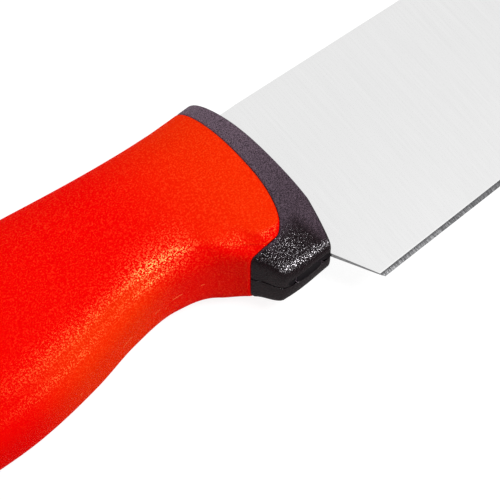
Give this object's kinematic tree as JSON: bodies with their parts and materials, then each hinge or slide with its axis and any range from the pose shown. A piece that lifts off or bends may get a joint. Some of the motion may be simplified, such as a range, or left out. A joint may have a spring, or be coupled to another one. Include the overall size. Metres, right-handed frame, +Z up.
{
  "type": "butcher knife",
  "caption": "Fixed-blade butcher knife lying on its side: deep satin steel blade, dark plastic collar with a finger guard, and a soft red moulded grip with a hooked butt.",
  "frame": {"origin": "on the surface the knife lies on, under the middle of its length and depth", "axes": "+X along the knife to the tip, +Y across the blade to the spine, +Z up out of the knife's right side"},
  "size_m": [0.35, 0.0506, 0.024],
  "materials": {
    "blade_steel": "satin, fine grinding lines across the blade",
    "core_plastic": "fine spark-eroded grain",
    "grip_rubber": "soft matte, fine moulded grain",
    "pin_steel": "drawn wire"
  },
  "bodies": {
    "root": {"blade": "blade_steel", "core_right": "core_plastic", "core_left": "core_plastic", "grip_sleeve": "grip_rubber", "tang_pin_front": "pin_steel", "tang_pin_middle": "pin_steel", "tang_pin_rear": "pin_steel"}
  },
  "joints": []
}
